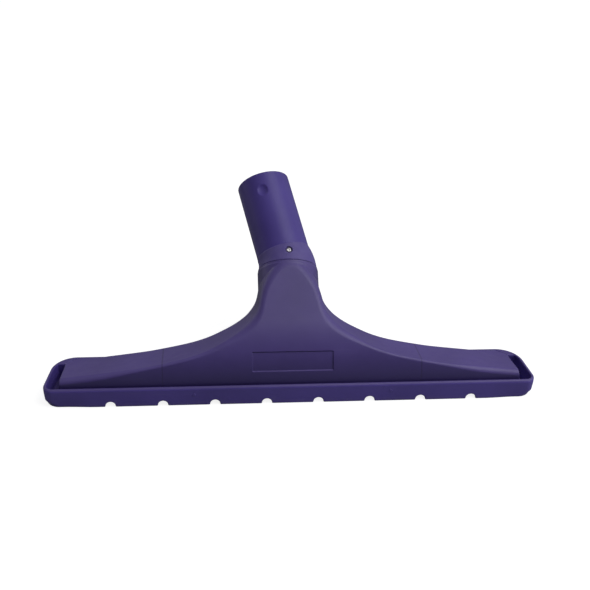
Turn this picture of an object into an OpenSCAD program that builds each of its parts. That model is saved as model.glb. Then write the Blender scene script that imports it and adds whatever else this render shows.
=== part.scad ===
// Wide floor tool for a commercial vacuum: a low head in a notched base
// frame, with a swivelling, slightly bent cuff that takes a 1.5 inch wand.
// Origin: centre of the sole on the floor. +X along the width, the skirt's
// front faces -Y, the neck rises towards +Y, +Z is up. Millimetres.

/* [Base frame] */
// Overall width of the tool, end to end
tool_w = 381; // [376:1:386]
// Depth of the base frame, front skirt to rear skirt
tool_d = 46; // [46:0.5:48]
// Height of the skirt's rim above the floor
skirt_h = 16; // [15.5:0.1:16.5]
// Thickness of the skirt wall
skirt_t = 2.6; // [2.2:0.1:2.8]
// Spacing of the air notches along the front edge
notch_pitch = 40; // [36:1:42]
// Radius of an air notch
notch_r = 3.8; // [3:0.1:4.2]
// Front-to-rear width of the suction slot
slot_d = 16; // [12:0.5:16]
// Length of the suction slot
slot_w = 316; // [280:1:316]

/* [Head cover] */
// Wall thickness of the head cover
wall = 2.6; // [2.2:0.1:2.8]
// Radius of the rounded lower front of the head
front_r = 62; // [58:0.5:64]
// Thickness of the fan, front face to back face
fan_t = 22; // [20:0.5:24]
// Angle at which the top of the head drops towards the rear
top_tilt = 11.5; // [10:0.5:13]

/* [Neck and swivel] */
// Rise of the neck axis above the floor, in degrees
neck_rise = 39.5; // [38:0.5:41]
// Outside diameter of the neck ring
ring_d = 48.7; // [48:0.1:49.5]
// Outside diameter of the swivel spigot
spigot_d = 34.6; // [34:0.1:34.8]
// Air bore through the spigot
spigot_bore = 28.4; // [26:0.1:29]

/* [Cuff] */
// Outside diameter of the cuff tube
cuff_d = 42.8; // [42:0.1:43]
// Wand bore of the cuff
cuff_bore = 38.3; // [38:0.1:38.5]
// Length of the cuff tube from the bend
cuff_len = 79.6; // [76:0.1:84]
// Angle of the bend between neck and cuff
bend = 12.9; // [12:0.1:13.5]
// Rest position of the swivel about the neck axis
swivel = 166.4; // [160:0.1:175]

/* [Hidden] */
$fn = 72;

purple = [0.27, 0.22, 0.47];
steel = [0.72, 0.72, 0.74];

half_w = tool_w / 2;
half_d = tool_d / 2;
web_bottom = 5.5;              // underside of the sole web
web_top = 8;
cover_bottom = 9;              // lower edge of the head cover, on the gasket
face_y = -half_d + 4.1;        // front face of the head at its lower edge
back_y = half_d - 3;           // rear wall of the head
overlap = 0.5;                 // how far joined parts sink into each other
weld_z = web_bottom + overlap; // top of parts that hang from the web

// sole screws: six along the rear, one at each end
screws = concat([for (x = [-150, -95, -45, 45, 95, 150]) [x, 15.9]],
                [for (x = [-168, 168]) [x, -6]]);
boss_r = 3.8;
shank_hole_r = 2.15;

// ---- Shared helpers ----

// a half outline followed by its mirror image in x
function mirrored(points) = concat(points,
    [for (i = [len(points) - 1:-1:0]) if (points[i][0] > 0.01) [-points[i][0], points[i][1]]]);

module both_ends() {
    for (side = [-1, 1]) mirror([side < 0 ? 1 : 0, 0, 0]) children();
}

module at_screws() {
    for (p = screws) translate([p[0], p[1], 0]) children();
}

// extrudes a [y, z] profile across the width
module along_x(width) {
    rotate([90, 0, 90]) translate([0, 0, -width / 2]) linear_extrude(width) children();
}

module tube(outer_r, inner_r, height) {
    difference() {
        cylinder(r = outer_r, h = height);
        translate([0, 0, -1]) cylinder(r = inner_r, h = height + 2);
    }
}

// cross recess of a screw head
module cross_slots(length, width, depth, bottom) {
    for (turn = [0, 90]) rotate([0, 0, turn])
        translate([-length / 2, -width / 2, bottom]) cube([length, width, depth]);
}

// ---- Side profile of the head, as [y, z] ----

neck_point = [59.6, 72.6];                         // a point on the neck axis
neck_dir = [cos(neck_rise), sin(neck_rise)];       // along the neck
fan_normal = [-sin(neck_rise), cos(neck_rise)];    // out of the fan's front face
fan_offset = ring_d / 2 + 0.45;                    // fan face in front of the neck axis
fan_point = neck_point + fan_offset * fan_normal;  // a point on the fan face
// centre of the arc between the upright front and the fan face
arc_y = face_y + front_r;
arc_z = (fan_normal * neck_point + fan_offset - front_r + sin(neck_rise) * arc_y)
    / cos(neck_rise);

fan_end = -3;                  // end of the fan along the neck
neck_end = 12;                 // end of the neck profile, beyond the ring
foot_z = 17.5;                 // height at which the neck meets the rear wall
ring_margin = 2;               // neck profile outside the ring

// y of the front face at height z
function front_y(z) =
    z <= arc_z ? face_y :
    z <= arc_z + front_r * cos(neck_rise)
        ? arc_y - sqrt(front_r * front_r - pow(z - arc_z, 2)) :
    fan_point[0] + (z - fan_point[1]) / tan(neck_rise);

// front edge from height bottom to distance end along the neck, set in by inset
function front_edge(inset, bottom, end) = concat(
    [[face_y + inset, bottom]],
    [for (i = [0:12]) let (angle = i / 12 * (90 - neck_rise))
        [arc_y - (front_r - inset) * cos(angle), arc_z + (front_r - inset) * sin(angle)]],
    [fan_point + end * neck_dir - inset * fan_normal]);

// front face, fan back and upright rear wall
function head_profile(inset, bottom, end) = let (
    depth = fan_t - inset,
    rear_y = back_y - inset,
    rear_z = fan_point[1] + (-depth - (rear_y - fan_point[0]) * fan_normal[0]) / fan_normal[1])
    concat(front_edge(inset, bottom, end),
        [fan_point + end * neck_dir - depth * fan_normal, [rear_y, rear_z], [rear_y, bottom]]);

// the round neck where it runs down into the head
function neck_profile(inset, bottom) = let (
    under = neck_point - (ring_d / 2 + ring_margin - inset) * fan_normal)
    concat(front_edge(inset, bottom, neck_end),
        [under + neck_end * neck_dir,
         under - 12 * neck_dir,
         [back_y + 2 - inset, foot_z + 1.5 * inset],
         [back_y - inset, foot_z + inset],
         [back_y - inset, bottom]]);

// ---- Top outline of the head ----

// ridge between front face and top, from the wing tip up to the neck: [x, z];
// the last point only steers the curve
ridge = [[200, 20.4], [176, 22.3], [146, 25.5], [118, 29.3], [100, 32.4], [80, 36.6],
         [66, 41], [54, 46], [43, 51.2], [34, 56.8], [28, 62.6], [24.6, 70.5], [22.6, 75.5],
         [17.6, 80.8], [12.4, 84.6], [7.2, 87.6], [0, 88.9], [-7.2, 87.6]];

// Catmull-Rom curve from b to c, t from 0 to 1
function catmull_rom(a, b, c, d, t) = 0.5 * (2 * b + (c - a) * t
    + (2 * a - 5 * b + 4 * c - d) * t * t + (3 * b - a - 3 * c + d) * t * t * t);

smooth_ridge = concat(
    [ridge[0]],
    [for (i = [1:len(ridge) - 3], k = [0:2])
        catmull_rom(ridge[i - 1], ridge[i], ridge[i + 1], ridge[i + 2], k / 3)],
    [ridge[len(ridge) - 2]]);

// moves a ridge point into the plane that is square to the tilted top
function lift(p) = [p[0], (front_y(p[1]) - face_y) * sin(top_tilt) + p[1] * cos(top_tilt)];

outer_top = [for (p = smooth_ridge) lift(p)];
// the outline of the wings, one wall further in
inner_top = [for (i = [1:len(smooth_ridge) - 2]) let (
    p = lift(smooth_ridge[i]),
    chord = lift(smooth_ridge[i + 1]) - lift(smooth_ridge[i - 1]),
    normal = [-chord[1], chord[0]] / norm(chord))
    if (p[0] > 26) p + (normal[1] > 0 ? -wall : wall) * normal];

// block below a top outline, running back along the tilted top
module below_top(outline, bottom) {
    translate([0, face_y, 0]) rotate([-top_tilt, 0, 0])
        translate([0, 150, 0]) rotate([90, 0, 0]) linear_extrude(200)
            polygon(concat(mirrored(outline), [[-200, bottom], [200, bottom]]));
}

// ---- Plan outlines, as [x, y], set in by inset ----

// base frame: two corner arcs a side, joined by their common tangent
function base_plan(inset) = let (
    front_corner_r = 7,
    rear_corner_r = 20,
    front = [half_w - front_corner_r, -half_d + front_corner_r],
    rear = [half_w - 23, half_d - rear_corner_r],
    link = rear - front,
    tangent = atan2(link[1], link[0]) - acos((front_corner_r - rear_corner_r) / norm(link)))
    mirrored(concat(
        [for (i = [0:6]) let (angle = -90 + i / 6 * (90 + tangent))
            front + (front_corner_r - inset) * [cos(angle), sin(angle)]],
        [for (i = [0:8]) let (angle = tangent + i / 8 * (90 - tangent))
            rear + (rear_corner_r - inset) * [cos(angle), sin(angle)]]));

clip_y = 13;                   // where the cover's clipped rear corners begin
clip_w = 7;                    // width of a clipped corner

// x of the cover's slanted right end
function end_x(y, inset = 0) = half_w - 12 - inset * 1.02 - 0.06 * (y - face_y);

// head cover from front to rear; past the rear wall it narrows towards the neck
function cover_plan(inset, front, rear) = let (
    corner = [end_x(back_y, inset) - clip_w, back_y - inset])
    mirrored(concat(
        [[end_x(front, inset), front], [end_x(clip_y, inset), clip_y], corner],
        rear > back_y ? [[corner[0] - 40, rear]] : []));

// ---- Base frame and its strip ----

slot_front = -12;
slot_rear = slot_front + slot_d;
channel_front = slot_rear + 1.8;  // strip channel, behind the slot's lip
channel_d = 5;
bar_w = 3;                     // width of a runner bar
bar_pitch = slot_w / 4;
rib_bottom = 2.4;
rib_h = web_bottom - 2;
lip_bottom = 0.8;
bead_bottom = 1;
well_bottom = 1.2;             // underside of the end wells
well_floor = 2.8;
well_wall = 1.6;
well_gap = 0.6;                // from the cover's end to the well
well_rear = 13.2;
land_gap = 0.4;                // from the cover's end to the rear land

// the deep wells at the two ends, grown by grow towards the middle and rear
module well_plan(grow) {
    edge = well_gap - grow;
    both_ends() polygon([
        [end_x(clip_y) + edge, well_rear + grow], [end_x(-half_d) + edge, -half_d],
        [half_w + 1, -half_d], [half_w + 1, well_rear + grow]]);
}

// the rear corners outside the head cover
module land_plan() {
    corner_x = end_x(back_y) - clip_w + land_gap;
    both_ends() polygon([
        [end_x(clip_y) + land_gap, well_rear], [half_w, well_rear], [half_w, half_d],
        [corner_x, half_d], [corner_x, back_y]]);
}

module skirt() {
    difference() {
        linear_extrude(skirt_h) polygon(base_plan(0));
        translate([0, 0, -1]) linear_extrude(skirt_h + 2) polygon(base_plan(skirt_t));
    }
}

// parts on the underside of the web, around the slot and the strip
module sole_ribs() {
    // lip behind the suction slot and the rib behind the strip
    translate([-slot_w / 2, slot_rear, lip_bottom])
        cube([slot_w, channel_front - slot_rear, weld_z - lip_bottom]);
    translate([-slot_w / 2, channel_front + channel_d, rib_bottom]) cube([slot_w, 1.4, rib_h]);
    // bead that stiffens the front skirt from behind
    translate([-160, -half_d + skirt_t - overlap, bead_bottom])
        cube([320, 2.5, weld_z - bead_bottom]);
    // ribs across the slot's ends
    for (side = [-1, 1]) translate([side * (slot_w / 2 + 1) - 1, slot_front, rib_bottom])
        cube([2, channel_front - slot_front, rib_h]);
    // runner bars across the slot, level with the skirt's lower edge
    for (i = [-1:1]) translate([i * bar_pitch - bar_w / 2, slot_front - 1, 0])
        cube([bar_w, slot_d + 2.8, weld_z]);
}

module base_frame() color(purple) difference() {
    union() {
        skirt();
        // sole web
        translate([0, 0, web_bottom]) linear_extrude(web_top - web_bottom)
            polygon(base_plan(skirt_t - overlap));
        // walls and floor of the end wells
        translate([0, 0, well_bottom]) linear_extrude(weld_z - well_bottom) intersection() {
            polygon(base_plan(skirt_t - overlap));
            well_plan(well_wall);
        }
        sole_ribs();
        // lands that close the end pockets at the rear, level with the rim
        translate([0, 0, web_top - overlap]) linear_extrude(skirt_h - web_top + overlap)
            intersection() {
                polygon(base_plan(1));
                land_plan();
            }
        // pads under the screw heads
        at_screws() translate([0, 0, 2.6]) cylinder(r = 4.9, h = rib_h);
    }
    // end wells, open at the top between the skirt and the head
    translate([0, 0, well_floor]) linear_extrude(web_top) intersection() {
        polygon(base_plan(skirt_t + 0.3));
        well_plan(0);
    }
    // the four openings of the suction slot, between the runner bars
    for (i = [0:3]) translate([-slot_w / 2 + i * bar_pitch + bar_w / 2, slot_front, -1])
        cube([bar_pitch - bar_w, slot_d, 12]);
    // air notches along the front edge
    for (i = [-3.5:3.5]) translate([i * notch_pitch, -half_d - 3, 0.8])
        rotate([-90, 0, 0]) cylinder(r = notch_r, h = 8);
    // screw heads and shanks
    at_screws() {
        translate([0, 0, -1]) cylinder(r = 4, h = web_bottom + 1);
        cylinder(r = shank_hole_r, h = 12);
    }
}

strip_w = slot_w - 6;
carrier_gap = 0.15;            // carrier to channel wall
carrier_bottom = 3.9;
pile_gap = 0.6;                // pile to channel wall
pile_bottom = 0.3;

module strip_carrier() color([0.2, 0.2, 0.21])
    translate([-strip_w / 2, channel_front + carrier_gap, carrier_bottom])
        cube([strip_w, channel_d - 2 * carrier_gap, 1.6]);

module pile_strip() color([0.62, 0.1, 0.12])
    translate([-strip_w / 2 + 1, channel_front + pile_gap, pile_bottom])
        cube([strip_w - 2, channel_d - 2 * pile_gap, carrier_bottom - pile_bottom]);

// ---- Neck frames: z runs along the neck from the ring's end face ----

module at_neck() {
    translate([0, neck_point[0], neck_point[1]]) rotate([neck_rise - 90, 0, 0]) children();
}
module at_swivel() { at_neck() rotate([0, 0, swivel]) children(); }
module at_cuff() { at_swivel() rotate([0, bend, 0]) children(); }

screw_z = 8.2;                 // swivel screws' height above the neck ring
screw_seat = 20;               // swivel screw heads' distance from the neck axis

// z points outwards from the swivel, at an angle about its axis
module around_swivel(angle) {
    at_neck() translate([0, 0, screw_z]) rotate([0, 0, angle]) rotate([0, 90, 0]) children();
}

// ---- Head cover and its gasket ----

spigot_bottom = -6;
seal_z = 2;                    // lower edge of the seal groove
seal_h = 2.2;
screw_groove_h = 3.4;

module cover_body() {
    intersection() {
        along_x(420) polygon(head_profile(0, cover_bottom, fan_end));
        below_top(outer_top, -40);
        linear_extrude(120) polygon(cover_plan(0, -60, 140));
    }
    intersection() {
        at_neck() translate([0, 0, -100]) cylinder(r = ring_d / 2, h = 100);
        along_x(60) polygon(neck_profile(0, cover_bottom));
    }
}

module wing_hollow() {
    intersection() {
        along_x(420) polygon(head_profile(wall, cover_bottom - 3, -28));
        below_top(inner_top, -60);
        translate([0, 0, -5]) linear_extrude(120) polygon(cover_plan(wall, -60, 140));
    }
}

module neck_hollow() {
    intersection() {
        at_neck() translate([0, 0, -110])
            cylinder(r = ring_d / 2 - wall, h = 110 + spigot_bottom);
        along_x(60) polygon(neck_profile(wall, cover_bottom - 3));
    }
}

// shallow recessed panel on the front
module panel_recess() {
    intersection() {
        translate([-31, -40, 25.8]) cube([62, 40, 14]);
        difference() {
            translate([-40, -60, 20]) cube([80, 80, 30]);
            along_x(90) polygon(head_profile(0.7, 0, fan_end));
        }
    }
}

module screw_bosses() {
    intersection() {
        for (p = screws) translate([p[0], p[1], p[1] > 0 ? cover_bottom : web_top])
            cylinder(r = boss_r, h = 30);
        along_x(420) polygon(head_profile(0.1, 0, fan_end));
        below_top([for (p = outer_top) p - [0, 1]], -60);
    }
}

module head_cover() color(purple) difference() {
    union() {
        difference() {
            union() cover_body();
            wing_hollow();
            neck_hollow();
            panel_recess();
        }
        screw_bosses();
        // swivel spigot
        at_neck() translate([0, 0, spigot_bottom]) cylinder(d = spigot_d, h = 18.4);
    }
    at_screws() translate([0, 0, 7]) cylinder(r = 1.95, h = 8);
    at_neck() {
        translate([0, 0, -20]) cylinder(d = spigot_bore, h = 40);
        // seat of the thrust washer
        translate([0, 0, -0.7]) tube(21.8, spigot_d / 2, 3);
        // seal groove and screw groove
        translate([0, 0, seal_z]) tube(spigot_d / 2 + 2, 15.5, seal_h);
        translate([0, 0, screw_z - screw_groove_h / 2])
            tube(spigot_d / 2 + 2, 16, screw_groove_h);
    }
}

gasket_inset = 0.2;
function gasket_plan(inset) = cover_plan(inset, face_y + inset, back_y - inset);

module seal_gasket() color([0.16, 0.16, 0.17])
    translate([0, 0, web_top]) linear_extrude(cover_bottom - web_top) difference() {
        union() {
            difference() {
                polygon(gasket_plan(gasket_inset));
                polygon(gasket_plan(wall + gasket_inset));
            }
            // eyelets around the rear screws
            for (p = screws) if (p[1] > 0) translate(p) circle(r = boss_r);
        }
        for (p = screws) translate(p) circle(r = shank_hole_r);
    }

// ---- Cuff and swivel parts ----

module elbow_cuff() color(purple) difference() {
    union() {
        at_cuff() translate([0, 0, 9]) cylinder(d = cuff_d, h = cuff_len - 9);
        // collar that flares from the tube down to the neck ring
        hull() {
            at_swivel() translate([0, 0, 0.4]) cylinder(r = 22.9, h = 0.6, $fn = 64);
            at_cuff() translate([0, 0, 12.6]) cylinder(r = cuff_d / 2 + 0.25, h = 0.6, $fn = 64);
        }
    }
    // wand bore, its stop shoulder and the air passage
    at_cuff() {
        translate([0, 0, cuff_len - 46]) cylinder(d = cuff_bore, h = 50);
        translate([0, 0, 11]) cylinder(r = 16.6, h = 40);
        translate([0, 0, 18]) cylinder(r = 17.8, h = 30);
    }
    at_swivel() {
        translate([0, 0, 5]) cylinder(r = 14.8, h = 14);
        // socket for the spigot
        translate([0, 0, -1]) cylinder(d = spigot_d + 0.5, h = 14.2);
    }
    // recesses and holes of the two swivel screws
    for (angle = [-90, 90]) around_swivel(angle) {
        translate([0, 0, screw_seat]) cylinder(r = 3.1, h = 8);
        translate([0, 0, 12]) cylinder(r = 1.6, h = 14);
    }
    // shallow blind dimple near the open end
    at_cuff() translate([0, 0, cuff_len - 15.5]) rotate([0, 0, 90]) rotate([0, 90, 0])
        translate([0, 0, cuff_d / 2 - 0.9]) cylinder(r = 5.6, h = 4);
}

module thrust_washer() color([0.9, 0.89, 0.85])
    at_neck() translate([0, 0, -0.68]) tube(21.6, spigot_d / 2 + 0.15, 1.06);

module swivel_o_ring() color([0.08, 0.08, 0.08])
    at_neck() translate([0, 0, seal_z + seal_h / 2])
        rotate_extrude() translate([16.5, 0]) circle(r = 0.95, $fn = 24);

module swivel_screw(angle) color(steel) around_swivel(angle) {
    rim_r = 2.75;
    rim_h = 1.1;
    translate([0, 0, screw_seat]) difference() {
        union() {
            cylinder(r = rim_r, h = rim_h);
            translate([0, 0, rim_h]) cylinder(r1 = rim_r, r2 = 2.1, h = 0.6);
        }
        cross_slots(3, 0.6, 2, bottom = 0.9);
    }
    translate([0, 0, 16.3]) cylinder(r = 1.5, h = 4);
}
module swivel_screw_front() { swivel_screw(-90); }
module swivel_screw_rear() { swivel_screw(90); }

module sole_screw(i) color(steel) translate([screws[i][0], screws[i][1], 0]) {
    head_bottom = 3.1;
    difference() {
        translate([0, 0, head_bottom]) cylinder(r = 3.6, h = web_bottom - head_bottom);
        cross_slots(4.2, 0.9, 2.4, bottom = 2);
    }
    translate([0, 0, web_bottom - 0.4]) cylinder(r = 1.9, h = 8.6);
}
module sole_screw_1() { sole_screw(0); }
module sole_screw_2() { sole_screw(1); }
module sole_screw_3() { sole_screw(2); }
module sole_screw_4() { sole_screw(3); }
module sole_screw_5() { sole_screw(4); }
module sole_screw_6() { sole_screw(5); }
module sole_screw_7() { sole_screw(6); }
module sole_screw_8() { sole_screw(7); }

base_frame();
head_cover();
seal_gasket();
strip_carrier();
pile_strip();
elbow_cuff();
thrust_washer();
swivel_o_ring();
swivel_screw_front();
swivel_screw_rear();
sole_screw_1();
sole_screw_2();
sole_screw_3();
sole_screw_4();
sole_screw_5();
sole_screw_6();
sole_screw_7();
sole_screw_8();
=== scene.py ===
"""A wide floor nozzle: a base frame with a pile strip, a head cover that rises to a
ring-shaped neck, and an elbow cuff that swivels on the neck.

x runs across the width, -y is the front, and z is up from the floor. The moulded parts
are distance fields in mm, negative inside, meshed on a grid and scaled to metres.
"""
import math
import random
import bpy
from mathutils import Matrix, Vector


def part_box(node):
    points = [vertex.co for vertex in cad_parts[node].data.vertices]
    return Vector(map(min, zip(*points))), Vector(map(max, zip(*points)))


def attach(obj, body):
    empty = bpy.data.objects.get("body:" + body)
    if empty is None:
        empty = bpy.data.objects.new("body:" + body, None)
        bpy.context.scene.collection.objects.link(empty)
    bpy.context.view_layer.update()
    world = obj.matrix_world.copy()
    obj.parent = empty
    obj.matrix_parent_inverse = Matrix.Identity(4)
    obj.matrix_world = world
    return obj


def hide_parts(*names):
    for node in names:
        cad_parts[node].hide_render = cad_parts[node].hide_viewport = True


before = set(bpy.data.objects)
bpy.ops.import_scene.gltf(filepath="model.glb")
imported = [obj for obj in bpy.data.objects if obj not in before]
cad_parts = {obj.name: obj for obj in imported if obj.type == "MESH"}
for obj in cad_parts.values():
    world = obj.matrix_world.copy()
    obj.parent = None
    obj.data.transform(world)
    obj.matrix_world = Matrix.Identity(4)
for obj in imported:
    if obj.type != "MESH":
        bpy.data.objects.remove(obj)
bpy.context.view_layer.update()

from types import SimpleNamespace

import bmesh
import bpy
import numpy as np
from mathutils import Matrix, Vector

scene = bpy.context.scene
CELL_SCALE = 1.0

# ---------------------------------------------------------------- sizes, mm
MM = 0.001
HALF_W, HALF_D = 190.5, 23.0
SKIRT_H, SKIRT_T = 16.0, 2.6
WEB_LO, WEB_HI, COVER_LO = 5.5, 8.0, 9.0
INTO_WEB = WEB_LO + 0.5                     # top of whatever hangs from the web
FACE_Y, BACK_Y = -HALF_D + 4.1, HALF_D - 3.0
END_X, END_LEAN = 178.5, 0.06               # ends of the head, leaning in to the rear
CORNER_X = 169.17                           # where the clipped corner meets BACK_Y
WALL, FRONT_R, FAN_T, TILT = 2.6, 62.0, 22.0, math.radians(11.5)
INSERT_X = 100.0                            # mould step across each wing
PANEL_HALF_W, PANEL_Z, PANEL_HALF_H = 31.0, 32.8, 7.0

AXIS_Y, AXIS_Z = 59.6, 72.6                 # a point on the neck axis
RISE = math.radians(39.5)
ALONG_Y, ALONG_Z = math.cos(RISE), math.sin(RISE)
OUT_Y, OUT_Z = -math.sin(RISE), math.cos(RISE)      # out of the fan's face
RING_R = 48.7 / 2
FACE_OFF = RING_R + 0.45
FAN_Y, FAN_Z = AXIS_Y + FACE_OFF * OUT_Y, AXIS_Z + FACE_OFF * OUT_Z
# centre of the arc between the upright front and the fan's face
ARC_Y = FACE_Y + FRONT_R
ARC_Z = (OUT_Y * AXIS_Y + OUT_Z * AXIS_Z + FACE_OFF - FRONT_R
         + math.sin(RISE) * ARC_Y) / math.cos(RISE)
SPIGOT_R, BORE_R = 17.3, 14.2
CUFF_R, CUFF_BORE, CUFF_LEN = 21.4, 19.15, 79.6
BEND, SWIVEL = math.radians(12.9), math.radians(166.4)
SWIVEL_SCREW_H = 8.2                        # along the neck axis

SCREWS = [(-150, 15.9), (-95, 15.9), (-45, 15.9), (45, 15.9), (95, 15.9), (150, 15.9),
          (-168, -6), (168, -6)]
RIGHT_SCREWS = [place for place in SCREWS if place[0] > 0]
HALF_SLOT, SLOT_Y, LIP_Y = 158.0, -12.0, 4.0
CHANNEL_Y = LIP_Y + 1.8


# ------------------------------------------------- distance field operations
def length(a, b):
    return np.sqrt(a * a + b * b)


def smooth(start, end, value):
    t = np.clip((value - start) / (end - start), 0, 1)
    return t * t * (3 - 2 * t)


def meet(first, second, radius=None):
    """Intersection of two fields; its outer edge is sharp or has a radius."""
    if radius is None:
        return np.maximum(first, second)
    rounded = np.sqrt(np.maximum(first + radius, 0) ** 2 + np.maximum(second + radius, 0) ** 2)
    return np.minimum(np.maximum(first, second), -radius) + rounded


def join(first, second, radius=None):
    """Union of two fields, with an optional fillet in the corner."""
    return -meet(-first, -second, radius)


def carve(solid, tool, radius=None):
    """The solid less the tool, with an optional radius on the edge of the cut."""
    return meet(solid, -tool, radius)


def slab(value, low, high):
    return np.maximum(low - value, value - high)


def block(x, y, z, x_span, y_span, z_span):
    return meet(meet(slab(x, *x_span), slab(y, *y_span)), slab(z, *z_span))


class Table:
    """A field of two variables on a grid, read back as a cubic B-spline."""

    def __init__(self, field, u_span, v_span, step):
        self.u_start, self.v_start, self.step = u_span[0], v_span[0], step
        u, v = (span[0] + step * np.arange(int(math.ceil((span[1] - span[0]) / step)) + 1)
                for span in (u_span, v_span))
        self.values = field(u[:, None], v[None, :]).astype(np.float32)

    @staticmethod
    def weights(place, count):
        place = np.clip(place, 1.0, count - 3.001)
        i = np.floor(place).astype(np.int32)
        t = (place - i).astype(np.float32)
        return i, ((1 - t) ** 3 / 6, (3 * t ** 3 - 6 * t * t + 4) / 6,
                   (-3 * t ** 3 + 3 * t * t + 3 * t + 1) / 6, t ** 3 / 6)

    def __call__(self, u, v):
        rows_at, row_w = self.weights((u - self.u_start) / self.step, self.values.shape[0])
        cols_at, col_w = self.weights((v - self.v_start) / self.step, self.values.shape[1])
        if u.ndim == 3:      # on a grid u varies along x only and v in the yz plane
            rows = sum(w[:, 0, :] * self.values[(rows_at[:, 0, 0] + k - 1)]
                       for k, w in enumerate(row_w))
            return sum(col_w[k] * rows[:, (cols_at[0] + k - 1)] for k in range(4))
        total = 0
        for i in range(4):
            for j in range(4):
                total = total + (row_w[i] * col_w[j]
                                 * self.values[rows_at + i - 1, cols_at + j - 1])
        return total


# --------------------------------------------------------------- head cover
# (x, z) along the upper edge, from beyond the right tip to just past the middle
RIDGE = [
    (200, 20.4), (176, 22.3), (146, 25.5), (118, 29.3), (100, 32.4), (80, 36.6),
    (66, 40.8), (54, 45.7), (42.5, 51.0), (33.2, 56.6), (27.1, 62.6), (24.0, 70.5),
    (21.4, 76.2), (16.6, 82.2), (11.6, 86.6), (6.4, 89.5), (0, 90.6), (-6.4, 89.5),
]
RIDGE_STEPS = 12


def front_y(z):
    """The y of the head's front at a height: upright, then the arc, then the fan's face."""
    if z <= ARC_Z:
        return FACE_Y
    if z <= ARC_Z + FRONT_R * math.cos(RISE):
        return ARC_Y - math.sqrt(FRONT_R ** 2 - (z - ARC_Z) ** 2)
    return FAN_Y + (z - FAN_Z) / math.tan(RISE)


def ridge_curve():
    """Catmull-Rom curve through the ridge, laid in the plane tilted by TILT."""
    curve = [RIDGE[0]]
    for i in range(1, len(RIDGE) - 2):
        a, b, c, d = (np.array(RIDGE[i + k], float) for k in (-1, 0, 1, 2))
        for k in range(RIDGE_STEPS):
            t = k / RIDGE_STEPS
            curve.append(tuple(0.5 * (2 * b + (c - a) * t + (2 * a - 5 * b + 4 * c - d) * t * t
                                      + (3 * b - a - 3 * c + d) * t ** 3)))
    curve.append(RIDGE[-2])
    return [(x, (front_y(z) - FACE_Y) * math.sin(TILT) + z * math.cos(TILT)) for x, z in curve]


def outline_field(u, v):
    points = np.array(ridge_curve())
    mirrored = np.concatenate([points, (points * [-1, 1])[::-1][1:]])
    u, v = np.broadcast_arrays(u, v)
    nearest = np.full(u.shape, 1e9)
    for (ax, ay), (bx, by) in zip(mirrored[:-1], mirrored[1:]):
        ex, ey = bx - ax, by - ay
        t = np.clip(((u - ax) * ex + (v - ay) * ey) / (ex * ex + ey * ey), 0, 1)
        nearest = np.minimum(nearest, (u - ax - t * ex) ** 2 + (v - ay - t * ey) ** 2)
    top = np.interp(np.abs(u), points[::-1, 0], points[::-1, 1])
    return np.where(v < top, -1.0, 1.0) * np.sqrt(nearest)


outline = Table(outline_field, u_span=(-6, 196), v_span=(-12, 112), step=0.5)


def rear_corner(side, y):
    """The clipped rear corner of the head."""
    return (side - CORNER_X) * 0.686 + (y - BACK_Y) * 0.727


def head_form(x, y, z):
    """The head's outer form without its underside, its front, and each point's
    place along the neck axis and distance from it."""
    side = np.abs(x)
    along = (y - AXIS_Y) * ALONG_Y + (z - AXIS_Z) * ALONG_Z
    radius = length(x, (y - AXIS_Y) * OUT_Y + (z - AXIS_Z) * OUT_Z)
    face = (y - FAN_Y) * OUT_Y + (z - FAN_Z) * OUT_Z
    past_arc = (y - ARC_Y) * ALONG_Y + (z - ARC_Z) * ALONG_Z
    arc = length(y - ARC_Y, z - ARC_Z) - FRONT_R
    front = np.where(z <= ARC_Z, FACE_Y - y, np.where(past_arc > 0, face, arc))
    rear = join(y - BACK_Y, -FAN_T - face, 8.0)
    top = outline(side, (y - FACE_Y) * math.sin(TILT) + z * math.cos(TILT))
    # the wing tips run out into a flat land, level with the rim
    top = join(top, z - (SKIRT_H + 0.15), 1.5)
    ends = (side + END_LEAN * (y - FACE_Y) + 0.08 * (z - SKIRT_H) - END_X) / 1.005
    ends = meet(ends, rear_corner(side, y), 0.4)
    top_radius = 1.9 + 2.8 * smooth(105, 160, side) + 3.0 * smooth(34, 58, z)
    body = meet(front, top, top_radius)
    body = meet(body, rear, 0.6 + 1.4 * smooth(18, 24, z))
    body = meet(body, ends, 0.9)
    body = meet(body, along + 1.4, 0.8)
    # the ring is relieved under the collar
    ring = radius - RING_R + 0.4 * smooth(-3.6, -2.2, along)
    # a sloping plane trims the ring behind the body
    trim = ((y - 22.0) * 27.1 - (z - 17.5) * 45.1) / 52.62
    neck = meet(ring, join(trim, y - BACK_Y, 4.0), 7.0)
    neck = meet(neck, front + 1.6 * smooth(-14, -24, along), 2.0)
    blend = 0.25 + 6.0 * smooth(-20, -30, face) * smooth(62, 50, z)
    return join(body, neck, blend), front, along, radius


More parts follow.
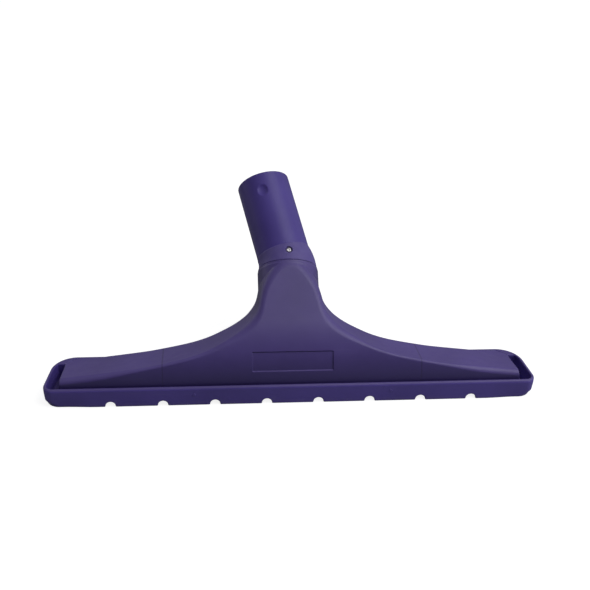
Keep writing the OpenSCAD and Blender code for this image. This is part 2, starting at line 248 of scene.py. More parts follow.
def head_field(x, y, z):
    whole, front, along, radius = head_form(x, y, z)
    side = np.abs(x)
    # mould step where the wing inserts meet, and the recessed blank panel
    step = smooth(INSERT_X - 0.4, INSERT_X + 0.4, side)
    whole = whole + 0.14 * step * smooth(-12, -8, -z)
    outer = meet(whole, COVER_LO - z, 0.35)
    outer = meet(outer, along + 0.82 * smooth(21.7, 22.1, radius), 0.6)
    panel = meet(side - PANEL_HALF_W, np.abs(z - PANEL_Z) - PANEL_HALF_H, 0.8)
    outer = carve(outer, carve(panel, front + 0.7, 0.2), 0.25)
    solid = carve(outer, meet(whole + WALL, along + 6.0), 0.3)
    for screw_x, screw_y in RIGHT_SCREWS:
        boss_lo = COVER_LO if screw_y > 0 else WEB_HI
        boss = meet(length(side - screw_x, y - screw_y) - 3.8, boss_lo - z)
        solid = join(solid, meet(boss, whole + 0.6), 0.6)
    solid = join(solid, meet(radius - SPIGOT_R, slab(along, -6, 12.4), 0.5))
    solid = carve(solid, meet(radius - BORE_R, -20 - along))
    # annular room around the spigot, then its two grooves
    solid = carve(solid, meet(slab(radius, SPIGOT_R, 21.8), -0.7 - along))
    for groove_r, start, end in ((15.5, 2, 4.2), (16.0, 6.5, 9.9)):
        solid = carve(solid, meet(groove_r - radius, slab(along, start, end)))
    for screw_x, screw_y in RIGHT_SCREWS:
        solid = carve(solid, meet(length(side - screw_x, y - screw_y) - 1.95, z - 15))
    return solid


# --------------------------------------------------------------- base frame
FRONT_CORNER_R, REAR_CORNER_R = 7.0, 20.0
# centres of the right-hand corner arcs in plan, and the angle of the line joining them
FRONT_CX, FRONT_CY = HALF_W - FRONT_CORNER_R, -HALF_D + FRONT_CORNER_R
REAR_CX, REAR_CY = HALF_W - 23.0, HALF_D - REAR_CORNER_R
END_ANGLE = (math.atan2(REAR_CY - FRONT_CY, REAR_CX - FRONT_CX)
             - math.acos((FRONT_CORNER_R - REAR_CORNER_R)
                         / math.hypot(REAR_CX - FRONT_CX, REAR_CY - FRONT_CY)))
END_COS, END_SIN = math.cos(END_ANGLE), math.sin(END_ANGLE)
LAND_Y = 13.2                               # front of the land, rear of the well


def end_line(side, y):
    """The straight end, tangent to both corner arcs."""
    return (side - FRONT_CX) * END_COS + (y - FRONT_CY) * END_SIN - FRONT_CORNER_R


def plan(side, y):
    """The rim's outline seen from above."""
    fx, fy, rx, ry = side - FRONT_CX, y - FRONT_CY, side - REAR_CX, y - REAR_CY
    flat = meet(meet(-HALF_D - y, y - HALF_D), end_line(side, y))
    in_front = (fx > 0) & (-fx * END_SIN + fy * END_COS < 0)
    in_rear = (-rx * END_SIN + ry * END_COS > 0) & (rx > 0)
    rim = np.where(in_front, length(fx, fy) - FRONT_CORNER_R, flat)
    return np.where(in_rear, length(rx, ry) - REAR_CORNER_R, rim)


def skirt_and_land(side, y, z, rim, wall):
    near_front = smooth(-14, -21, y)
    thickness = SKIRT_T - 0.6 * smooth(162, 180, side) * (1 - near_front)
    skirt = meet(wall, z - SKIRT_H, 0.8 + 1.3 * near_front)
    skirt = meet(carve(skirt, wall + thickness, 0.25), -z, 0.5)
    land = meet(rim + 1.0, slab(z, WEB_HI - 0.5, SKIRT_H))
    land = meet(land, LAND_Y - y, 0.5)
    land = meet(land, 0.35 - rear_corner(side, y), 0.3)
    land = meet(land, CORNER_X + 0.4 - side, 0.3)
    return join(skirt, land)


def web_and_wells(x, side, y, z, wall):
    inner = wall + SKIRT_T - 0.5
    web = meet(inner, slab(z, WEB_LO, WEB_HI), 0.1)
    front_rib = (-HALF_D + SKIRT_T - 0.5, -HALF_D + SKIRT_T + 2)
    web = join(web, block(x, y, z, (-160, 160), front_rib, (1.0, INTO_WEB)))
    # deep wells between the skirt's ends and the head
    well = meet(END_X + 0.42 - END_LEAN * (y - FACE_Y) - side, y - LAND_Y, 0.4)
    web = join(web, meet(meet(well - 1.6, inner), slab(z, 1.2, INTO_WEB)))
    return carve(web, meet(meet(well, wall + SKIRT_T - 0.3), 2.8 - z), 0.25)


def base_field(x, y, z):
    side = np.abs(x)
    rim = plan(side, y)
    # towards the floor the skirt draws in at its ends and its front corners grow rounder
    low = meet(-HALF_D - y, end_line(side, y), FRONT_CORNER_R + 6.0 * smooth(7, 0, z))
    wall = meet(rim, low) + 0.09 * np.maximum(12 - z, 0) * smooth(150, 176, side)
    solid = join(skirt_and_land(side, y, z, rim, wall),
                 web_and_wells(x, side, y, z, wall), 0.4)
    # ribs behind the slot and at its ends
    across = (-HALF_SLOT, HALF_SLOT)
    solid = join(solid, block(x, y, z, across, (LIP_Y, CHANNEL_Y), (0.8, INTO_WEB)))
    solid = join(solid, block(x, y, z, across, (CHANNEL_Y + 5, CHANNEL_Y + 6.4),
                              (2.4, INTO_WEB)))
    solid = join(solid, block(side, y, z, (HALF_SLOT, HALF_SLOT + 2), (SLOT_Y, CHANNEL_Y),
                              (2.4, INTO_WEB)))
    for screw_x, screw_y in RIGHT_SCREWS:
        boss = length(side - screw_x, y - screw_y) - 4.9
        solid = join(solid, meet(boss, slab(z, 2.6, INTO_WEB)))
    slot = meet(slab(side, -10, HALF_SLOT), slab(y, SLOT_Y, LIP_Y), 1.0)
    solid = carve(solid, slot, 0.35)
    # bars across the slot, at its middle and quarter points
    bar = join(side, np.abs(side - HALF_SLOT / 2)) - 1.5
    bar = meet(bar, slab(y, SLOT_Y - 1, CHANNEL_Y), 0.3)
    solid = join(solid, meet(bar, slab(z, 0, INTO_WEB), 0.7))
    # round notches in the lower edge of the front
    for notch_x in (20, 60, 100, 140):
        notch = meet(length(side - notch_x, z - 0.5) - 3.8, slab(y, -30, -18))
        solid = carve(solid, notch, 0.9)
    for screw_x, screw_y in RIGHT_SCREWS:
        reach = length(side - screw_x, y - screw_y)
        solid = carve(solid, meet(reach - 4.0, z - 6.0))
        solid = carve(solid, reach - 2.15)
    # two small gate marks on the front of the skirt
    gate = meet(length(side - 76, z - 9.5) - 1.3, slab(y, -23.25, -22), 0.2)
    return join(solid, gate)


# --------------------------------------------------------------- elbow cuff
def turn(axis, angle):
    """Rotation matrix about axis 0, 1 or 2."""
    b, c = (axis + 1) % 3, (axis + 2) % 3
    matrix = np.eye(3)
    matrix[b, b] = matrix[c, c] = math.cos(angle)
    matrix[b, c], matrix[c, b] = -math.sin(angle), math.sin(angle)
    return matrix


# columns are the neck's and the cuff's axes; the neck's -y points out of the fan's face
NECK_AXES = turn(0, RISE - math.pi / 2)
CUFF_AXES = NECK_AXES @ turn(2, SWIVEL) @ turn(1, BEND)
AXIS_POINT = np.array([0.0, AXIS_Y, AXIS_Z])
NECK_IN_CUFF = CUFF_AXES.T @ NECK_AXES


def elbow_field(x, y, z):
    """Field of the cuff in its own frame: z along the tube, from the bend."""
    neck_x, neck_y, neck_z = (x * axis[0] + y * axis[1] + z * axis[2]
                              for axis in NECK_IN_CUFF.T)
    neck_r, cuff_r = length(neck_x, neck_y), length(x, y)
    # the collar blends from the neck's round to the tube's
    low, high = np.maximum(neck_z + 0.6, 0), np.maximum(13.2 - z, 0)
    share = low / np.maximum(low + high, 1e-6)
    bell = (1 - share) * (neck_r - 23.5) + share * (cuff_r - 21.6)
    bell = bell + 0.4 * share * (1 - share)
    collar = meet(meet(bell, -0.6 - neck_z, 0.6), z - 13.2, 0.35)
    tube = meet(cuff_r - CUFF_R, slab(z, 8.0, CUFF_LEN), 0.9)
    outer = meet(join(collar, tube, 0.25), -0.6 - neck_z)
    outer = carve(outer, meet(neck_r - 22.15, neck_z - 0.4))   # the washer's room
    # wand bore with a lead-in, stop shoulder, passage, socket
    bore = meet(cuff_r - CUFF_BORE, (CUFF_LEN - 46) - z, 0.4)
    lead = cuff_r - CUFF_BORE - np.maximum(z - (CUFF_LEN - 1.2), 0) * 0.7
    solid = carve(outer, join(bore, meet(lead, CUFF_LEN - 6 - z)), 0.35)
    solid = carve(solid, join(meet(cuff_r - 16.6, 11 - z), meet(cuff_r - 17.8, 18 - z)))
    solid = carve(solid, meet(neck_r - 14.8, slab(neck_z, 5, 19)))
    solid = carve(solid, meet(neck_r - 17.55, slab(neck_z, -5, 13.2)))
    # recesses and holes of the two swivel screws, along the neck frame's -y and +y
    screw_r = length(neck_x, neck_z - SWIVEL_SCREW_H)
    solid = carve(solid, meet(screw_r - 2.85, 20 - np.abs(neck_y)), 0.4)
    solid = carve(solid, meet(screw_r - 1.6, 12 - np.abs(neck_y)))
    # shallow blind dimple near the open end
    dimple_z = z - (CUFF_LEN - 15.5)
    dimple = np.sqrt(x * x + dimple_z * dimple_z + (y - (CUFF_R + 8.1)) ** 2) - 9.6
    return carve(solid, dimple, 0.3)


# ------------------------------------------------------------------- screws
def cross(x, y, half_width, reach):
    return join(meet(np.abs(x) - half_width, np.abs(y) - reach),
                meet(np.abs(y) - half_width, np.abs(x) - reach))


def swivel_screw_field(x, y, z):
    """Pan head from z = 20 to its top, along the radius, cross recess, plain shank."""
    top = 21.4
    radius = length(x, y)
    dome = np.sqrt(radius * radius + (z - 18.5) ** 2) - 2.9
    head = meet(meet(radius - 2.6, slab(z, 20, top), 0.25), dome, 0.3)
    recess = cross(x, y, half_width=0.38 - 0.12 * (top - z), reach=1.3)
    recess = meet(recess, 20.6 + 0.35 * radius - z)
    shank = meet(radius - 1.5, slab(z, 16.3, 20.2), 0.25)
    return join(carve(head, recess, 0.1), shank)


def sole_screw_field(x, y, z):
    """Pan head under the web, cross recess from below, threaded shank."""
    bottom, pitch = 3.1, 1.4
    radius = length(x, y)
    dome = np.sqrt(radius * radius + (z - 9.0) ** 2) - 5.9
    head = meet(meet(radius - 3.6, slab(z, bottom, 5.5), 0.3), dome, 0.4)
    recess = cross(x, y, half_width=0.55 - 0.12 * (z - bottom), reach=2.0)
    recess = meet(recess, z - 4.4 + 0.3 * radius)
    phase = (z / pitch - np.arctan2(y, x) / (2 * math.pi)) % 1.0
    thread = 1.55 + 0.32 * np.clip(1 - np.abs(phase - 0.5) * 4.0, 0, 1)
    thread = np.where(z > 6.2, thread, 1.75)
    shank = meet(radius - thread + np.maximum(z - 12.2, 0) * 0.6, slab(z, 5.2, 13.7))
    return join(carve(head, recess, 0.12), shank)


# ------------------------------------------------------- meshing of a field
def surface_net(values, origin, cell):
    """Points and quads of the surface where the gridded values change sign."""
    inside = values < 0
    nx, ny, nz = values.shape
    count = np.zeros((nx - 1, ny - 1, nz - 1), np.int8)
    corners = [(a, b, c) for a in (0, 1) for b in (0, 1) for c in (0, 1)]
    for a, b, c in corners:
        count += inside[a:nx - 1 + a, b:ny - 1 + b, c:nz - 1 + c]
    active = np.nonzero((count > 0) & (count < 8))
    number = np.full(count.shape, -1, np.int32)
    number[active] = np.arange(len(active[0]))
    at_corner = {corner: values[tuple(i + k for i, k in zip(active, corner))].astype(np.float64)
                 for corner in corners}
    # a cell's point is the mean of the crossings on its twelve edges
    total, crossings = np.zeros((len(active[0]), 3)), np.zeros(len(active[0]))
    for start in corners:
        for axis in range(3):
            if start[axis]:
                continue
            end = tuple(1 if k == axis else start[k] for k in range(3))
            v0, v1 = at_corner[start], at_corner[end]
            crossed = (v0 < 0) != (v1 < 0)
            t = np.where(crossed, v0 / np.where(crossed, v0 - v1, 1), 0)
            for k in range(3):
                total[:, k] += crossed * (t if k == axis else start[k])
            crossings += crossed
    points = np.array(origin) + cell * (np.stack(active, 1) + total / crossings[:, None])
    # each crossed grid edge gives a quad between the four cells around it
    quads = []
    for axis in range(3):
        low, high = [slice(1, -1)] * 3, [slice(1, -1)] * 3
        low[axis], high[axis] = slice(None, -1), slice(1, None)
        start_in = inside[tuple(low)]
        changed = start_in != inside[tuple(high)]
        place = [p if k == axis else p + 1 for k, p in enumerate(np.nonzero(changed))]
        around = []
        for b, c in ((-1, -1), (0, -1), (0, 0), (-1, 0)):
            near = list(place)
            near[(axis + 1) % 3] = near[(axis + 1) % 3] + b
            near[(axis + 2) % 3] = near[(axis + 2) % 3] + c
            around.append(number[tuple(near)])
        quad = np.stack(around, 1)
        flip = ~start_in[changed]
        quad[flip] = quad[flip][:, ::-1]
        quads.append(quad)
    quads = np.concatenate(quads)
    return points, quads[(quads >= 0).all(1)]


def gradient(field, points, reach):
    slope = np.zeros_like(points)
    for k in range(3):
        offset = np.zeros(3)
        offset[k] = reach
        slope[:, k] = (field(*(points + offset).T) - field(*(points - offset).T)) / (2 * reach)
    return slope


def settle(field, points, cell, rounds=3):
    """Moves the points onto the field's zero, by no more than one cell."""
    start = points.copy()
    for _ in range(rounds):
        slope = gradient(field, points, 0.04)
        step = field(*points.T) / np.maximum((slope * slope).sum(1), 0.25)
        points = points - np.clip(step, -0.4 * cell, 0.4 * cell)[:, None] * slope
        moved = points - start
        far = np.sqrt((moved * moved).sum(1))
        points = start + moved * np.minimum(1, 0.9 * cell / np.maximum(far, 1e-9))[:, None]
    return points


def mesh_from(name, points, quads):
    mesh = bpy.data.meshes.new(name)
    mesh.vertices.add(len(points))
    mesh.vertices.foreach_set("co", points.astype(np.float32).ravel())
    mesh.loops.add(quads.size)
    mesh.loops.foreach_set("vertex_index", quads.astype(np.int32).ravel())
    mesh.polygons.add(len(quads))
    mesh.polygons.foreach_set("loop_start", (np.arange(len(quads)) * 4).astype(np.int32))
    mesh.update(calc_edges=True)
    mesh.validate()
    return mesh


def add(name, data):
    made = bpy.data.objects.new(name, data)
    scene.collection.objects.link(made)
    return made


def decimated(mesh, name, ratio):
    holder = add("decimate_holder", mesh)
    holder.modifiers.new("decimate", "DECIMATE").ratio = ratio
    graph = bpy.context.evaluated_depsgraph_get()
    small = bpy.data.meshes.new_from_object(holder.evaluated_get(graph))
    bpy.data.objects.remove(holder)
    bpy.data.meshes.remove(mesh)
    small.name = name
    return small


def grow(name, field, low, high, cell, triangles, mirror=False, placing=None):
    """Meshes a field in mm into an object in metres, of about so many triangles at most.
    Shading normals come from the field itself. Placing is (axes, origin)."""
    cell = cell * CELL_SCALE
    xs = np.arange(0.5 * cell if mirror else low[0], high[0], cell)
    ys, zs = np.arange(low[1], high[1], cell), np.arange(low[2], high[2], cell)
    values = np.empty((len(xs), len(ys), len(zs)), np.float32)
    for i in range(0, len(xs), 64):
        values[i:i + 64] = field(xs[i:i + 64, None, None], ys[None, :, None], zs[None, None, :])
    origin = [xs[0], ys[0], zs[0]]
    if mirror:
        values = np.concatenate([values[::-1], values])
        origin[0] = -xs[-1]
    points, quads = surface_net(values, origin, cell)
    del values
    points = settle(field, points, cell)
    mesh = mesh_from(name, points, quads)
    if len(quads) * 2 > triangles:
        mesh = decimated(mesh, name, triangles / (len(quads) * 2.0))
        points = np.zeros(len(mesh.vertices) * 3, np.float32)
        mesh.vertices.foreach_get("co", points)
        points = settle(field, points.reshape(-1, 3).astype(float), cell, rounds=2)
    normals = gradient(field, points, 0.06)
    normals /= np.maximum(np.sqrt((normals * normals).sum(1)), 1e-9)[:, None]
    if placing is not None:
        axes, centre = placing
        points, normals = points @ axes.T + centre, normals @ axes.T
    mesh.vertices.foreach_set("co", (points * MM).astype(np.float32).ravel())
    mesh.polygons.foreach_set("use_smooth", np.ones(len(mesh.polygons), bool))
    mesh.normals_split_custom_set_from_vertices(normals.astype(np.float32).tolist())
    mesh.update()
    return add(name, mesh)


# ---------------------------------------------------------------- materials
NOISE_SPAN = (0.3, 0.7)                     # where most of a noise's values lie


class Shader:
    """A cleared node tree, with short calls for the nodes used here."""

    def __init__(self, tree):
        self.tree = tree
        tree.nodes.clear()

    def feed(self, node, inputs):
        """Links or sets a node's inputs, given by name or index."""
        for key, value in inputs.items():
            if isinstance(value, bpy.types.NodeSocket):
                self.tree.links.new(value, node.inputs[key])
            else:
                node.inputs[key].default_value = value

    def node(self, kind, inputs=None, **settings):
        node = self.tree.nodes.new("ShaderNode" + kind)
        for key, value in settings.items():
            setattr(node, key, value)
        self.feed(node, inputs or {})
        return node

    def math(self, operation, *operands):
        return self.node("Math", dict(enumerate(operands)), operation=operation).outputs[0]

    def times(self, first, second):
        return self.math("MULTIPLY", first, second)

    def noise(self, coords, scale, detail=2.0, rough=0.5):
        return self.node("TexNoise", {"Scale": scale, "Detail": detail, "Roughness": rough,
                                      "Vector": coords}).outputs[0]

    def remap(self, value, source, result=(0, 1), **settings):
        inputs = dict(enumerate((value, *source, *result)))
        return self.node("MapRange", inputs, **settings).outputs[0]

    def mix(self, factor, first, second):
        first, second = ((*c, 1) if isinstance(c, tuple) else c for c in (first, second))
        return self.node("Mix", {0: factor, 6: first, 7: second}, data_type="RGBA").outputs[2]

    def separate(self, vector):
        return self.node("SeparateXYZ", {0: vector}).outputs

    def dot(self, vector, direction):
        node = self.node("VectorMath", {0: vector, 1: direction}, operation="DOT_PRODUCT")
        return node.outputs["Value"]

    def bump(self, height, strength, distance, **settings):
        inputs = {"Strength": strength, "Distance": distance, "Height": height}
        return self.node("Bump", inputs, **settings)


def new_material(name):
    """Material, its shader calls, its principled node and object coordinates."""
    material = bpy.data.materials.new(name)
    material.use_nodes = True
    shader = Shader(material.node_tree)
    output = shader.node("OutputMaterial")
    surface = shader.node("BsdfPrincipled")
    shader.feed(output, {0: surface.outputs[0]})
    return material, shader, surface, shader.node("TexCoord").outputs["Object"]


def tint(colour, gain, lift=0):
    return tuple(min(1, c * gain + lift) for c in colour)


def start_plastic(name, base, rough):
    """Satin plastic: faint flow mottling, rubbed edges and handling scuffs."""
    material, shader, surface, coords = new_material(name)
    geometry = shader.node("NewGeometry").outputs
    broad = shader.noise(coords, scale=22, detail=3)
    mid = shader.noise(coords, scale=160, detail=4, rough=0.6)
    fine = shader.noise(coords, scale=2600, rough=0.6)
    colour = shader.mix(shader.remap(broad, NOISE_SPAN), tint(base, 0.90),
                        tint(base, 1.10, lift=0.0015))
    mottle = shader.remap(mid, (0.45, 0.75), (0, 0.10))
    colour = shader.mix(mottle, colour, tint(base, 1.25, lift=0.004))
    edge = shader.remap(geometry["Pointiness"], (0.53, 0.60))
    worn = shader.times(edge, shader.remap(mid, (0.35, 0.65), (0.25, 1.0)))
    colour = shader.mix(shader.times(worn, 0.10), colour, (0.30, 0.28, 0.42))
    # long fine scratches, stretched along the width
    stretched = shader.node("Mapping", {"Scale": (30, 900, 900), "Rotation": (0.0, 0.25, 0.4),
                                        0: coords}).outputs[0]
    scratch = shader.remap(shader.noise(stretched, scale=1.0, detail=1, rough=0.4),
                           (0.70, 0.76))
    scratch = shader.times(scratch, shader.remap(broad, (0.45, 0.6)))
    colour = shader.mix(shader.times(scratch, 0.10), colour, (0.24, 0.22, 0.34))
    # worn edges are glossier, scratches duller
    roughness = shader.remap(mid, NOISE_SPAN, (rough - 0.03, rough + 0.05))
    roughness = shader.math("ADD", roughness, shader.times(worn, -0.05))
    roughness = shader.math("ADD", roughness, shader.times(scratch, 0.12))
    return SimpleNamespace(material=material, shader=shader, surface=surface, coords=coords,
                           facing=geometry["Normal"], mid=mid, fine=fine, colour=colour,
                           roughness=roughness)


def grain(part):
    """Fine spark-eroded grain."""
    return part.shader.bump(part.fine, strength=0.6, distance=0.012 * MM)


def finish_plastic(part, normal, specular=0.5):
    part.shader.feed(part.surface, {
        "Base Color": part.colour, "Roughness": part.roughness, "Normal": normal.outputs[0],
        "IOR": 1.49, "Specular IOR Level": specular})
    return part.material


def head_plastic():
    base = (0.084, 0.058, 0.245)
    part = start_plastic("head_plastic", base, rough=0.46)
    shader = part.shader
    position = shader.separate(part.coords)
    # painted shade: steep faces are darkened towards a deep purple as if they caught less
    # light, while faces that look up keep the base colour
    painted_shade_steep = shader.remap(shader.separate(part.facing)[2], (0.12, 0.48), (0.55, 0))
    part.colour = shader.mix(painted_shade_steep, part.colour, (0.010, 0.007, 0.070))
    normal = grain(part)
    # witness line of the wing inserts, fading out at the cover's lower edge
    offset = shader.math("SUBTRACT", shader.math("ABSOLUTE", position[0]), INSERT_X * MM)
    line = shader.remap(shader.math("ABSOLUTE", offset), (0.0002, 0.0007), (1, 0))
    line = shader.times(line, shader.remap(position[2], (0.0095, 0.0105)))
    part.colour = shader.mix(shader.times(line, 0.62), part.colour, tint(base, 0.45))
    groove = shader.bump(line, strength=0.5, distance=0.0001, invert=True)
    shader.feed(groove, {"Normal": normal.outputs[0]})
    return finish_plastic(part, groove)


def frame_plastic():
    part = start_plastic("frame_plastic", (0.095, 0.066, 0.345), rough=0.46)
    shader = part.shader
    position = shader.separate(part.coords)
    # painted shading: faces that look up, the rim and the lands, get the greyer, darker tone of
    # the head's upper faces
    greyer_mask = shader.remap(shader.separate(part.facing)[2], (0.35, 0.85), (0, 0.55))
    part.colour = shader.mix(greyer_mask, part.colour, (0.072, 0.051, 0.145))
    # scuffs and dust film close to the floor
    low = shader.remap(position[2], (0.0005, 0.0045), (1, 0))
    patches = shader.noise(part.coords, scale=420, detail=4, rough=0.7)
    scuff = shader.times(low, shader.remap(patches, (0.42, 0.62)))
    part.colour = shader.mix(shader.times(scuff, 0.22), part.colour, (0.22, 0.20, 0.27))
    part.roughness = shader.math("ADD", part.roughness, shader.times(scuff, 0.2))
    return finish_plastic(part, grain(part))


def cuff_plastic():
    part = start_plastic("cuff_plastic", (0.078, 0.054, 0.285), rough=0.38)
    shader = part.shader
    # the collar is rougher and a little greyer than the polished tube
    axis = CUFF_AXES[:, 2]
    along = shader.math("SUBTRACT", shader.dot(part.coords, Vector(axis)),
                        float(AXIS_POINT @ axis) * MM)
    greyer_mask = shader.remap(along, (0.0130, 0.0136), (1, 0))
    amount = shader.times(greyer_mask, shader.remap(part.mid, NOISE_SPAN, (0.10, 0.17)))
    part.colour = shader.mix(amount, part.colour, (0.34, 0.30, 0.40))
    part.roughness = shader.math("ADD", part.roughness, shader.times(greyer_mask, 0.16))
    return finish_plastic(part, grain(part), specular=0.29)


def metal(name, base, rough, stain):
    material, shader, surface, coords = new_material(name)
    blotch = shader.noise(coords, scale=900, detail=3)
    fine = shader.noise(coords, scale=6000)
    shader.feed(surface, {
        "Base Color": shader.mix(shader.remap(blotch, (0.5, 0.75), (0, 0.5)), base, stain),
        "Roughness": shader.remap(blotch, NOISE_SPAN, (rough - 0.06, rough + 0.16)),
        "Metallic": 1.0,
        "Normal": shader.bump(fine, strength=0.4, distance=0.00001).outputs[0]})
    return material


def matte(name, base, scale, rough, depth, spots=None, cells=False):
    """Rubber, foam, acetal and pile, with their own grain scale, depth and spots."""
    material, shader, surface, coords = new_material(name)
    broad = shader.noise(coords, scale=scale * 0.12, detail=3)
    if cells:
        pores = shader.node("TexVoronoi", {"Scale": scale, "Vector": coords})
        height = pores.outputs["Distance"]
    else:
        height = shader.noise(coords, scale=scale, detail=3, rough=0.6)
    colour = shader.mix(shader.remap(broad, NOISE_SPAN), tint(base, 0.8), tint(base, 1.2))
    if spots:
        colour = shader.mix(shader.remap(height, (0.55, 0.8), (0, 0.5)), colour, spots)
    shader.feed(surface, {
        "Base Color": colour,
        "Roughness": shader.remap(broad, NOISE_SPAN, (rough - 0.06, rough + 0.06)),
        "Normal": shader.bump(height, strength=0.6, distance=depth).outputs[0]})
    return material


head_material = head_plastic()
frame_material = frame_plastic()
cuff_material = cuff_plastic()
steel = metal("stainless_steel", (0.74, 0.73, 0.72), rough=0.36, stain=(0.30, 0.29, 0.27))
zinc = metal("zinc_plated_steel", (0.55, 0.55, 0.53), rough=0.34, stain=(0.42, 0.38, 0.28))
acetal = matte("natural_acetal", (0.72, 0.71, 0.66), scale=1800, rough=0.42, depth=0.00001)
rubber = matte("nitrile_rubber", (0.018, 0.018, 0.019), scale=1500, rough=0.5, depth=0.00002)
foam = matte("closed_cell_foam", (0.035, 0.035, 0.038), scale=1600, rough=0.85, depth=0.00015,
             spots=(0.06, 0.06, 0.065), cells=True)
carrier = matte("carrier_plastic", (0.030, 0.030, 0.034), scale=1400, rough=0.45,
                depth=0.00002)
nylon = matte("nylon_pile", (0.34, 0.018, 0.022), scale=3000, rough=0.62, depth=0.00003,
              spots=(0.42, 0.05, 0.05))


def dress(made, material, body, replaced):
    made.data.materials.clear()
    made.data.materials.append(material)
    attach(made, body)
    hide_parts(replaced)


# ------------------------------------------------------------------- pieces
head = grow("head_cover_moulding", head_field, (0, -20.6, 6.8), (182.5, 82.5, 96.0),
            cell=0.72, triangles=190000, mirror=True)
dress(head, head_material, "head", "head_cover")
base_frame = grow("base_frame_moulding", base_field, (0, -24.6, -1.3), (192.3, 24.6, 17.3),
                  cell=0.52, triangles=190000, mirror=True)
dress(base_frame, frame_material, "head", "base_frame")
elbow = grow("elbow_cuff_moulding", elbow_field, (-27, -26, -7), (27, 26, 81.2),
             cell=0.55, triangles=150000, placing=(CUFF_AXES, AXIS_POINT))
dress(elbow, cuff_material, "elbow", "elbow_cuff")


def swivel_screw(name, direction):
    """The field's z is the radius out of the neck axis."""
    out = NECK_AXES @ np.array([0, direction, 0.0])
    across = NECK_AXES @ np.array([1.0, 0, 0])
    axes = np.stack([across, np.cross(out, across), out], 1)
    centre = AXIS_POINT + NECK_AXES @ np.array([0, 0, SWIVEL_SCREW_H])
    screw = grow(name + "_pan_head", swivel_screw_field, (-3.1, -3.1, 16), (3.1, 3.1, 22),
                 cell=0.13, triangles=30000, placing=(axes, centre))
    dress(screw, steel, "elbow", name)


def sole_screws():
    """Copies of one screw, each turned a little further."""
    first = grow("sole_screw_1_pan_head", sole_screw_field, (-4, -4, 2.7), (4, 4, 14.1),
                 cell=0.2, triangles=24000)
    pattern = first.data
    bpy.data.objects.remove(first)
    for i, (x, y) in enumerate(SCREWS):
        mesh = pattern.copy()
        mesh.transform(Matrix.Rotation(0.7 * i, 4, "Z"))
        mesh.transform(Matrix.Translation((x * MM, y * MM, 0)))
        name = f"sole_screw_{i + 1}"
        dress(add(name + "_pan_head", mesh), zinc, "head", name)


def bridge(bm, first, second):
    """Faces between two closed rings of vertices."""
    count = len(first)
    for j in range(count):
        k = (j + 1) % count
        bm.faces.new((first[j], first[k], second[k], second[j]))


def backing(bm, x0, x1, y0, y1, under, top):
    """Woven strip with slightly wavy lower edges, in metres."""
    steps = 308
    rings = []
    for i in range(steps + 1):
        x = x0 + (x1 - x0) * i / steps
        wave = 0.00006 * math.sin(i * 1.7) + 0.00004 * math.sin(i * 0.53)
        section = [(y0 + 0.0002, under + 0.0001 + wave), (y0 + 0.0001, top - 0.0002),
                   (y0 + 0.0004, top), (y1 - 0.0004, top), (y1 - 0.0001, top - 0.0002),
                   (y1 - 0.0002, under + 0.0001 - wave), ((y0 + y1) / 2, under + 0.00005)]
        rings.append([bm.verts.new((x, y, z)) for y, z in section])
    for first, second in zip(rings, rings[1:]):
        bridge(bm, first, second)
    bm.faces.new(rings[0][::-1])
    bm.faces.new(rings[-1])


def pile():
    """Woven backing with rows of short, slightly splayed tufts below it."""
    draw = random.Random(7)
    bm = bmesh.new()
    low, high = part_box("pile_strip")
    x0, x1, y0, y1 = low.x, high.x, low.y, high.y
    under = high.z - 0.0008
    backing(bm, x0, x1, y0, y1, under, high.z)
    rows, per_row, sides = 5, 300, 5
    # (share of the tuft's length, radius)
    stations = ((0, 0.00030), (0.45, 0.00036), (0.85, 0.00040), (1, 0.00022))
    for row in range(rows):
        for i in range(per_row):
            tuft_x = x0 + 0.0007 + (x1 - x0 - 0.0014) * (i + 0.5 * (row % 2)) / (per_row - 0.5)
            tuft_y = y0 + 0.0005 + (y1 - y0 - 0.0010) * row / (rows - 1)
            lean_x = draw.uniform(-0.0002, 0.0002)
            lean_y = (row - 2) * 0.00008 + draw.uniform(-0.00015, 0.00015)
            tip = low.z + draw.uniform(0.0, 0.0003)
            last = None
            for t, radius in stations:
                z = (under + 0.0002) * (1 - t) + tip * t
                ring = []
                for k in range(sides):
                    angle = k * math.tau / sides + i
                    x = tuft_x + lean_x * t + radius * math.cos(angle)
                    y = tuft_y + lean_y * t + radius * math.sin(angle)
                    ring.append(bm.verts.new((min(max(x, x0), x1), min(max(y, y0), y1), z)))
                if last:
                    bridge(bm, last, ring)
                last = ring
            bm.faces.new(last)
    bmesh.ops.recalc_face_normals(bm, faces=bm.faces)
    mesh = bpy.data.meshes.new("pile_strip_tufts")
    bm.to_mesh(mesh)
    bm.free()
    return add("pile_strip_tufts", mesh)


swivel_screw("swivel_screw_front", -1)
swivel_screw("swivel_screw_rear", 1)
sole_screws()
dress(pile(), nylon, "head", "pile_strip")

# pieces kept from the frame: a material each, and a fine bevel on all but the ring
for name, material in (("thrust_washer", acetal), ("swivel_o_ring", rubber),
                       ("seal_gasket", foam), ("strip_carrier", carrier)):
    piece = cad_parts[name]
    if len(piece.material_slots) == 0:
        piece.data.materials.append(material)
    for slot in piece.material_slots:
        slot.material = material
    if name != "swivel_o_ring":
        bevel = piece.modifiers.new("edge", "BEVEL")
        bevel.width = 0.00012
        bevel.segments = 2
        bevel.limit_method = "ANGLE"
        bevel.angle_limit = math.radians(40)
        bevel.harden_normals = True


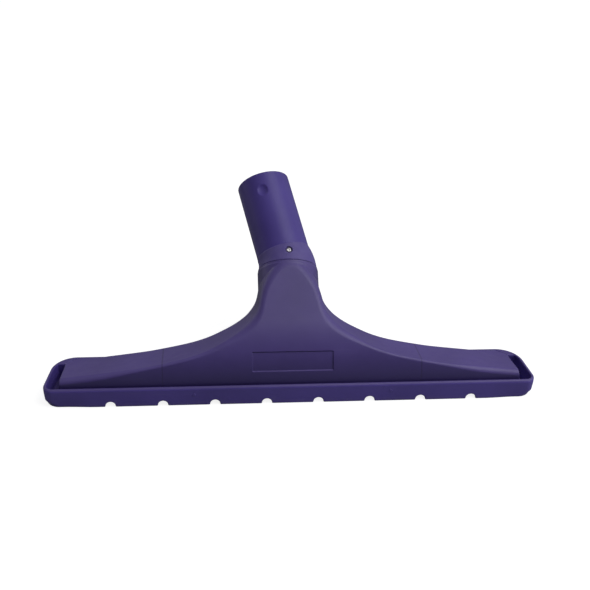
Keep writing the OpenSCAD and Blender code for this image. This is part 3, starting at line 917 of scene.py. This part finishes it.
# ---------------------------------------------------------- floor and light
def studio_floor():
    bm = bmesh.new()
    bmesh.ops.create_circle(bm, cap_ends=True, radius=14.0, segments=96)
    mesh = bpy.data.meshes.new("studio_floor")
    bm.to_mesh(mesh)
    bm.free()
    floor = add("studio_floor", mesh)
    material, shader, surface, coords = new_material("pale_floor")
    mottle = shader.remap(shader.noise(coords, scale=5), NOISE_SPAN)
    shader.feed(surface, {"Base Color": shader.mix(mottle, (0.36,) * 3, (0.38,) * 3),
                          "Roughness": 0.9, "Specular IOR Level": 0.1})
    # a glow that only the camera sees
    glow = shader.node("Emission", {0: (1, 1, 1, 1)})
    camera_ray = shader.node("LightPath").outputs["Is Camera Ray"]
    shader.feed(glow, {1: shader.times(camera_ray, 0.86)})
    both = shader.node("AddShader", {0: surface.outputs[0], 1: glow.outputs[0]})
    shader.feed(shader.tree.nodes["Material Output"], {0: both.outputs[0]})
    floor.data.materials.append(material)


def lobe(shader, coords, direction, strength, edge, core):
    """A soft round patch of light; edge and core are its half angles in degrees."""
    source = (math.cos(math.radians(edge)), math.cos(math.radians(core)))
    return shader.remap(shader.dot(coords, Vector(direction).normalized()), source,
                        (0, strength), interpolation_type="SMOOTHSTEP")


def studio_world():
    """Brighter towards +y, with three lobes; plain white to the camera."""
    world = bpy.data.worlds.new("studio")
    scene.world = world
    world.use_nodes = True
    shader = Shader(world.node_tree)
    output = shader.node("OutputWorld")
    background = shader.node("Background", {0: (1, 1, 1, 1)})
    shader.feed(output, {0: background.outputs[0]})
    coords = shader.node("TexCoord").outputs["Generated"]
    light = shader.remap(shader.separate(coords)[1], (-1.0, 1.0), (0.02, 0.27))
    # direction, strength, edge, core
    for patch in (((-0.80, 0.60, 0.02), 0.75, 34, 12), ((0.93, 0.20, 0.30), 0.34, 50, 16),
                  ((0.10, -0.20, 1.0), 0.30, 50, 10)):
        light = shader.math("ADD", light, lobe(shader, coords, *patch))
    camera_ray = shader.node("LightPath").outputs["Is Camera Ray"]
    shader.feed(background, {1: shader.math("MAXIMUM", light, camera_ray)})


def lamp(name, place, aim, size, power):
    light = bpy.data.lights.new(name, "AREA")
    light.shape = "RECTANGLE"
    light.size, light.size_y = size
    light.energy = power
    holder = bpy.data.objects.new(name, light)
    holder.location = place
    holder.rotation_mode = "QUATERNION"
    holder.rotation_quaternion = (Vector(aim) - Vector(place)).to_track_quat("-Z", "Y")
    scene.collection.objects.link(holder)


studio_floor()
studio_world()
lamp("key_softbox", place=(0.68, -0.20, 1.20), aim=(0.04, 0, 0.05), size=(1.15, 1.15),
     power=9.2)
lamp("low_right_softbox", place=(0.90, -0.50, 0.35), aim=(0.15, 0, 0.01), size=(0.5, 0.4),
     power=1.1)

# ------------------------------------------------------------------- camera
YAW, ELEVATION, ROLL = math.radians(5.22), math.radians(30.60), math.radians(1.76)
DISTANCE, TARGET = 874.0, Vector((4.6, 37.1, 61.5))         # mm
back = Vector((-math.sin(YAW) * math.cos(ELEVATION), -math.cos(YAW) * math.cos(ELEVATION),
               math.sin(ELEVATION)))
forward = -back
level = forward.cross(Vector((0, 0, 1))).normalized()
upright = level.cross(forward)
right = level * math.cos(ROLL) + upright * math.sin(ROLL)
up = -level * math.sin(ROLL) + upright * math.cos(ROLL)
camera = bpy.data.cameras.new("camera")
camera.sensor_width = 36.0
camera.lens = 67.118644
holder = add("camera", camera)
pose = Matrix((right, up, back)).transposed().to_4x4()
pose.translation = (TARGET + back * DISTANCE) * MM
holder.matrix_world = pose
scene.camera = holder
scene.view_settings.view_transform = "Standard"
scene.view_settings.look = "None"
